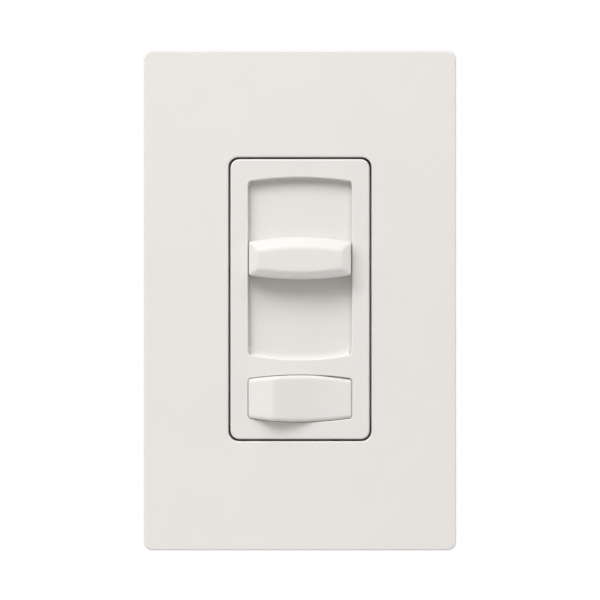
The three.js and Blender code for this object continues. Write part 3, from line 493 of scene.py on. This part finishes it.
def cove_recess(bm, front):
    """Bends the recess's sloping top and bottom walls, so that they run into its floor in a curve.

    The walls' feet are moved from just in front of the floor to just behind its face.
    """
    floor_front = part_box("slider_floor")[0].y
    foot, reach = floor_front - 0.3 * MM, floor_front + 0.005 * MM
    walls, lines = [], []
    for edge in bm.edges:
        a, b = sorted((v.co.copy() for v in edge.verts), key=lambda co: co.y)
        starts_at_edge = front + 0.1 * MM < a.y < front + 2 * BEZEL_OPENING_EDGE
        if starts_at_edge and abs(b.y - foot) < NEAR:
            walls.append(edge)
            lines.append((a, b))
    bmesh.ops.subdivide_edges(bm, edges=walls, cuts=COVE_CUTS, use_grid_fill=True)
    for vert in bm.verts:
        a, b = min(lines, key=lambda line: off_line(vert.co, *line))
        t = (vert.co.y - a.y) / (b.y - a.y)
        if off_line(vert.co, a, b) < 0.001 * MM and 0.01 < t < 1.01:
            width = Vector((b.x - a.x, b.z - a.z)).length
            across, down = cove(min(t, 1.0), width, reach - a.y)
            share = across / width
            vert.co = Vector((a.x + (b.x - a.x) * share, a.y + down, a.z + (b.z - a.z) * share))
    for vert in bm.verts:
        if abs(vert.co.y - foot) < NEAR:
            vert.co.y = reach


def cove(t, width, depth):
    """How far in and down the recess's wall is at a fraction t: a steep drop, then a curve."""
    drop, drop_width = 0.25, 0.04 * width
    foot_height, bend = 0.14 * width, 2.2
    if t < drop:
        return drop_width * t / drop, (depth - foot_height) * t / drop
    run = (t - drop) / (1 - drop)
    return drop_width + (width - drop_width) * run, depth - foot_height * (1 - run) ** bend


def off_line(point, a, b):
    """How far a point is from the line through a and b."""
    return (point - a).cross(b - a).length / (b - a).length


def undercut_rocker_hole(bm, front):
    """Widens the rocker's opening behind the face, where the rocker's ends swing past."""
    low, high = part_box("rocker")
    hole_half, undercut = 12.42 * MM, 0.3 * MM
    for vert in bm.verts:
        beside = abs(abs(vert.co.x) - hole_half) < 0.7 * MM
        level = low.z - MM < vert.co.z < high.z + MM
        behind = front + 0.5 * MM < vert.co.y < front + 2 * MM
        if beside and level and behind:
            vert.co.x += math.copysign(undercut, vert.co.x)


KNOB_HALF_WIDTH = 12.15 * MM
KNOB_BEVEL_RISE, KNOB_BEVEL_RUN = 1.2 * MM, 2.2 * MM  # the profile drawn for all four bevels
BEVEL_SIDE, BEVEL_TOP, BEVEL_BOTTOM = 2.25 * MM, 2.6 * MM, 1.85 * MM  # how far each reaches in
KNOB_FILLETS = (1.2 * MM, 2.0 * MM)  # where the sides meet the bevels, and the bevels the face
WING_X, WING_SIZE = 13.05 * MM, (3.1 * MM, 0.3 * MM, 8 * MM)


def knob():
    """A block with arched long sides, four mitred bevels and a flat face, all softly rounded."""
    low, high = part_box("slider_knob")
    middle, tall = (low.z + high.z) / 2, (high.z - low.z) / 2
    shoulder, face, run = low.y + KNOB_BEVEL_RISE, low.y, KNOB_BEVEL_RUN
    corners = [(0.0, high.y), (0.0, shoulder), (run, face), (run * 1.6, face)]
    rings = []
    for inset, y in filleted(corners, KNOB_FILLETS):
        share = inset / run
        outline = arched(
            KNOB_HALF_WIDTH - BEVEL_SIDE * share,
            tall - BEVEL_TOP * share,
            -tall + BEVEL_BOTTOM * share,
            top_rise=(1.2 - 0.3 * share) * MM,
            bottom_rise=(1.0 - 0.25 * share) * MM,
            corner=(0.7 - 0.1 * share) * MM,
        )
        rings.append([(x, y, z + middle) for x, z in outline])
    bm = loft(rings)
    for side in (-1, 1):
        add_block(bm, (side * WING_X, high.y - WING_SIZE[1] / 2, middle), WING_SIZE)
    place(new_piece("slider_knob_moulding", bm, 40.0), "slider_knob")


# ---- Rocker --------------------------------------------------------------------------------

# The face's heights over the bezel, in millimetres, with the rocker at rest.
FACET_X, FACET_HEIGHT, FACET_SLOPE = -11.3, 0.85, 0.534  # the left facet, up to the ridge
RIDGE_START, RIDGE_END, RIDGE_HEIGHTS = -6.9, -5.8, (3.2, 3.48, 3.36)
MIDDLE_HEIGHT, MIDDLE_SLOPE = 1.74, 0.28  # from the ridge down to the middle
RIGHT_END, RIGHT_HEIGHTS = 12.0, (MIDDLE_HEIGHT, -0.3, -0.2)  # the dished right half

ROCKER_HALF_WIDTH, ROCKER_HALF_HEIGHT, ROCKER_ARCH = 12.29 * MM, 5.53 * MM, 0.9 * MM
ROCKER_EDGE, ROCKER_END = 1.0 * MM, 0.45 * MM  # radii along its long edges and at its two ends
ROCKER_BACK, BACK_FLAT, BACK_SLOPE = -3.4 * MM, 4 * MM, 0.11
FLARE_DEPTH, FLARE_X, FLARE_Z = 1.3 * MM, 0.015, 0.007
END_STEPS, FACE_STEPS = 10, 88  # sections round each end and between them
FACE_ROWS, SIDE_ROWS = 12, 8  # points across each section's face, and along each part of its sides


def curve(heights, t):
    """A quadratic curve's value at t, from its start, its pull and its end."""
    start, pull, end = heights
    return (1 - t) ** 2 * start + 2 * t * (1 - t) * pull + t**2 * end


def rocker_height(x):
    """Height of the rocker's face over the bezel at X, both in millimetres."""
    if x < RIDGE_START:
        return FACET_HEIGHT + (x - FACET_X) * FACET_SLOPE
    if x < RIDGE_END:
        return curve(RIDGE_HEIGHTS, (x - RIDGE_START) / (RIDGE_END - RIDGE_START))
    if x < 0.0:
        return MIDDLE_HEIGHT - x * MIDDLE_SLOPE
    return curve(RIGHT_HEIGHTS, x / RIGHT_END)


def rocker_stations():
    """The X of each section, closer together where the two ends are rounded."""
    half, soft, turn = ROCKER_HALF_WIDTH, ROCKER_END, 90 / END_STEPS
    ends = [soft * (1 - math.cos(math.radians(turn * i))) for i in range(END_STEPS)]
    span = 2 * half - 2 * soft
    between = [-half + soft + span * i / FACE_STEPS for i in range(FACE_STEPS + 1)]
    return [-half + x for x in ends] + between + [half - x for x in reversed(ends)]


def rocker():
    """Skinned from left to right: a section runs up one edge, over the face, down the other."""
    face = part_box("bezel")[0].y
    low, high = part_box("rocker")
    middle = (low.z + high.z) / 2
    half, edge, soft = ROCKER_HALF_WIDTH, ROCKER_EDGE, ROCKER_END
    rings = []
    for x in rocker_stations():
        inside = 1 - min(half - abs(x), soft) / soft
        drop = soft * (1 - math.sqrt(max(0.0, 1 - inside**2)))
        front = face - rocker_height(x / MM) * MM + drop
        top = ROCKER_HALF_HEIGHT - ROCKER_ARCH * (x / half) ** 2 - drop * 0.5
        back = ROCKER_BACK - max(0.0, abs(x) - BACK_FLAT) * BACK_SLOPE
        rounding, run = arc((0.0, 0.0), edge, 90, 0, SIDE_ROWS), back - front - edge
        side = [(front + edge - y, top - edge + z) for z, y in rounding]
        side += [(front + edge + run * i / SIDE_ROWS, top) for i in range(1, SIDE_ROWS + 1)]
        face_line = [(front, (top - edge) * (2 * i / FACE_ROWS - 1)) for i in range(1, FACE_ROWS)]
        section = [(y, -z) for y, z in reversed(side)] + face_line + side
        rings.append([flared(x, y, z, face, middle) for y, z in section])
    bm = loft(rings)
    merge_into(bm, rocker_works())
    place(new_piece("rocker_moulding", bm, 38.0), "rocker")


def flared(x, y, z, face, middle):
    """Widens the rocker behind the bezel's face, so that it nearly closes the gap round it."""
    depth = min(1.0, max(0.0, (y - face) / FLARE_DEPTH))
    return (x * (1 + FLARE_X * depth), y, z * (1 + FLARE_Z * depth) + middle)


def rocker_works():
    """The rocker's stem and pivot pins, taken from the frame behind the moulded face."""
    bm = cad_bmesh("rocker")
    face = [v for v in bm.verts if v.co.y < ROCKER_BACK + 0.2 * MM]
    bmesh.ops.delete(bm, geom=face, context="VERTS")
    bmesh.ops.holes_fill(bm, edges=[e for e in bm.edges if e.is_boundary], sides=0)
    return bm


# ---- Screws with real threads --------------------------------------------------------------

THREADED_SCREWS = ("box_screw_top", "box_screw_bottom", "plate_screw_top", "plate_screw_bottom")
SCREW_RADIUS, SCREW_PITCH = 1.75 * MM, 0.794 * MM
SCREW_HEAD = 1.6 * MM  # the shaft's vertices are further than this behind the head's front
THREAD_SIDES, ROWS_PER_TURN = 24, 6


def threaded_bar(length):
    """A closed bar along Y with a V thread, which fades in at one end and out at the other."""
    pitch, depth = SCREW_PITCH, SCREW_PITCH * 0.5
    rows = int(length / pitch * ROWS_PER_TURN)
    rings = []
    for row in range(rows + 1):
        y = length * row / rows
        fade = max(0.0, min(1.0, y / pitch, (length - y) / (1.5 * pitch)))
        ring = []
        for i in range(THREAD_SIDES):
            angle = 2 * math.pi * i / THREAD_SIDES
            phase = (y / pitch - i / THREAD_SIDES) % 1.0
            crest = 1 - abs(2 * phase - 1)
            r = SCREW_RADIUS - depth * (1 - crest * fade)
            ring.append((r * math.cos(angle), y, r * math.sin(angle)))
        rings.append(ring)
    return loft(rings)


def screw(node):
    """The frame's own screw head with rounded rims, on a bar with a real thread."""
    bm = cad_bmesh(node)
    low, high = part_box(node)
    x, z = (low.x + high.x) / 2, (low.z + high.z) / 2

    def on_shaft(co):
        across = (co - Vector((x, co.y, z))).length
        return across < SCREW_RADIUS * 1.15 and co.y > low.y + SCREW_HEAD

    shaft = [v for v in bm.verts if on_shaft(v.co)]
    start = min(v.co.y for v in shaft)
    bmesh.ops.delete(bm, geom=[v for v in shaft if v.co.y > start + NEAR], context="VERTS")
    bmesh.ops.holes_fill(bm, edges=[e for e in bm.edges if e.is_boundary], sides=0)
    round_edges(bm, 0.12 * MM, 2)
    bar = threaded_bar(high.y - start)
    bmesh.ops.translate(bar, verts=bar.verts, vec=(x, start, z))
    merge_into(bm, bar)
    place(new_piece(node + "_threaded", bm, 35.0), node)


# ---- Everything else keeps the frame's shape -----------------------------------------------

REBUILT = {"wall_plate", "bezel", "slider_knob", "rocker", *THREADED_SCREWS}
EDGE_WIDTHS = {
    "rear_housing": 0.2 * MM,
    "yoke": 0.18 * MM,
    "plate_adapter": 0.15 * MM,
    "slider_floor": 0.1 * MM,
    "slider_carriage": 0.15 * MM,
}
DEFAULT_EDGE = 0.08 * MM


def polished(node):
    """The frame's shape with its sharp edges broken, as on a moulded, stamped or turned part."""
    bm = cad_bmesh(node)
    round_edges(bm, EDGE_WIDTHS.get(node, DEFAULT_EDGE), 2)
    place(new_piece(node + "_part", bm), node)


# ---- Stage ---------------------------------------------------------------------------------

AMBIENT = 0.02  # the backdrop's strength as light; it shows at full strength
FLOOR_RADIUS, FLOOR_Z = 0.34, -0.1
LENS, SENSOR = 250, 36  # millimetres
FRAMED_WIDTH, FRAMED_Y = 0.14327, -0.005  # what the camera has in view, and on which plane
EYE_HEIGHT = 0.1 * MM
SOFTBOXES = [  # name, azimuth and elevation in degrees, width and distance in metres, watts
    ("key", -27, 43, 0.45, 0.9, 4.25),
    ("left", -55, 32, 0.4, 1.0, 1.45),
    ("right", 60, 30, 0.4, 1.0, 0.4),
    ("front_top", 0, 34, 0.4, 0.9, 1.75),
    ("top", 0, 62, 0.4, 0.8, 1.5),
    ("top_right", 35, 50, 0.4, 1.0, 0.6),
    ("front", 5, 15, 0.4, 1.0, 0.4),
    ("right_rake", 85, 12, 0.4, 1.0, 2.2),
    ("left_rake", -85, 15, 0.4, 1.0, 1.6),
    ("back_left", -140, 25, 0.8, 1.0, 3.5),
    ("back_right", 130, 20, 0.8, 1.0, 4.0),
]


def world_light():
    """A white backdrop that lights the object less strongly than it shows."""
    world = bpy.data.worlds.new("studio")
    bpy.context.scene.world = world
    world.use_nodes = True
    nodes, links = world.node_tree.nodes, world.node_tree.links
    background = nodes["Background"]
    background.inputs["Color"].default_value = (1.0, 1.0, 1.0, 1.0)
    path = nodes.new("ShaderNodeLightPath")
    strength = nodes.new("ShaderNodeMapRange")
    strength.inputs["To Min"].default_value = AMBIENT
    strength.inputs["To Max"].default_value = 1.0
    links.new(path.outputs["Is Camera Ray"], strength.inputs["Value"])
    links.new(strength.outputs["Result"], background.inputs["Strength"])


def softbox(name, azimuth, elevation, size, distance, power):
    """A square light aimed at the object; azimuth 0 is straight in front and grows to the right."""
    light = bpy.data.lights.new(name, "AREA")
    light.shape = "SQUARE"
    light.size = size
    light.energy = power
    lamp = bpy.data.objects.new(name, light)
    around, up = math.radians(azimuth), math.radians(elevation)
    level = distance * math.cos(up)
    lamp.location = (level * math.sin(around), -level * math.cos(around), distance * math.sin(up))
    lamp.rotation_mode = "QUATERNION"
    lamp.rotation_quaternion = (-lamp.location).to_track_quat("-Z", "Y")
    bpy.context.scene.collection.objects.link(lamp)


def floor():
    """A pale disc under the object, low enough to stay out of the front view."""
    bm = bmesh.new()
    bmesh.ops.create_circle(bm, cap_ends=True, segments=96, radius=FLOOR_RADIUS)
    bmesh.ops.translate(bm, verts=bm.verts, vec=(0, 0, FLOOR_Z))
    disc = new_piece("studio_floor", bm)
    shader = Shader("studio_floor", (0.66, 0.66, 0.655), 0.6)
    shader.vary_colour(shader.noise(60 * MM, detail=3.0), 0.01)
    disc.data.materials.append(shader.material)


def camera():
    """Straight on to the plate, with a long lens."""
    data = bpy.data.cameras.new("camera")
    data.lens = LENS
    data.sensor_width = SENSOR
    distance = FRAMED_WIDTH * LENS / SENSOR
    eye = bpy.data.objects.new("camera", data)
    eye.location = (0.0, FRAMED_Y - distance, EYE_HEIGHT)
    eye.rotation_euler = (math.radians(90), 0, 0)
    bpy.context.scene.collection.objects.link(eye)
    bpy.context.scene.camera = eye


def main():
    bpy.context.scene.view_settings.view_transform = "Standard"
    camera()
    floor()
    world_light()
    for row in SOFTBOXES:
        softbox(*row)
    wall_plate()
    bezel()
    knob()
    rocker()
    for node in THREADED_SCREWS:
        screw(node)
    for node in NODES:
        if node not in REBUILT:
            polished(node)


main()
